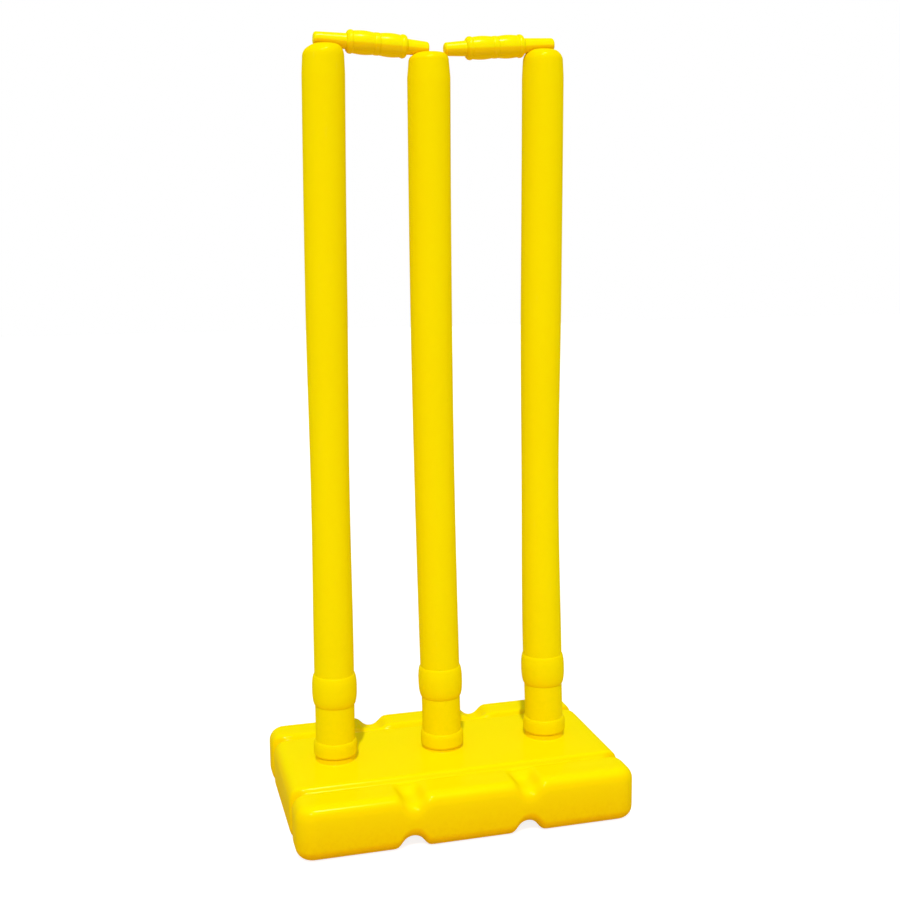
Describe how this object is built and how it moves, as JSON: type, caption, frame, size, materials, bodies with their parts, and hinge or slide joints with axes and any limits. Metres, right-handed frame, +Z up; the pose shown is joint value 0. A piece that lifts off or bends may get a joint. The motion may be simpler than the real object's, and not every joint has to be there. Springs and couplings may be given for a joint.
{
  "type": "cricket stumps",
  "caption": "Free-standing plastic cricket wicket: round stumps with collared feet in a lobed, weighted base, and turned bails resting in their domed tops.",
  "frame": {"origin": "on the ground under the middle of the base", "axes": "+Z up along the stumps, X along the row of stumps, the bowler's side at -Y and the filler plug at +Y"},
  "size_m": [0.319, 0.21, 0.7225],
  "materials": {
    "base_plastic": "smooth blow-moulded yellow polyethylene, satin gloss",
    "stump_plastic": "smooth blow-moulded yellow polyethylene, satin gloss",
    "bail_plastic": "injection-moulded yellow plastic, a little glossier than the stumps",
    "plug_plastic": "soft yellow polyethylene"
  },
  "bodies": {
    "base": {"base": "base_plastic"},
    "middle_stump": {"middle_stump": "stump_plastic"},
    "left_stump": {"left_stump": "stump_plastic"},
    "right_stump": {"right_stump": "stump_plastic"},
    "left_bail": {"left_bail": "bail_plastic"},
    "right_bail": {"right_bail": "bail_plastic"},
    "filler_plug": {"filler_plug": "plug_plastic"}
  },
  "joints": [
    {"name": "middle_stump_lift", "type": "slide", "parent": "base", "child": "middle_stump", "axis": [0, 0, 1], "range_m": [0, 0.05]},
    {"name": "left_stump_lift", "type": "slide", "parent": "middle_stump", "child": "left_stump", "axis": [0, 0, 1], "range_m": [0, 0.05]},
    {"name": "right_stump_lift", "type": "slide", "parent": "middle_stump", "child": "right_stump", "axis": [0, 0, 1], "range_m": [0, 0.05]},
    {"name": "left_bail_lift", "type": "slide", "parent": "left_stump", "child": "left_bail", "axis": [0, 0, 1], "range_m": [0, 0.04]},
    {"name": "right_bail_lift", "type": "slide", "parent": "right_stump", "child": "right_bail", "axis": [0, 0, 1], "range_m": [0, 0.04]},
    {"name": "filler_plug_pull", "type": "slide", "parent": "base", "child": "filler_plug", "axis": [0, 1, 0], "range_m": [0, 0.02]}
  ]
}
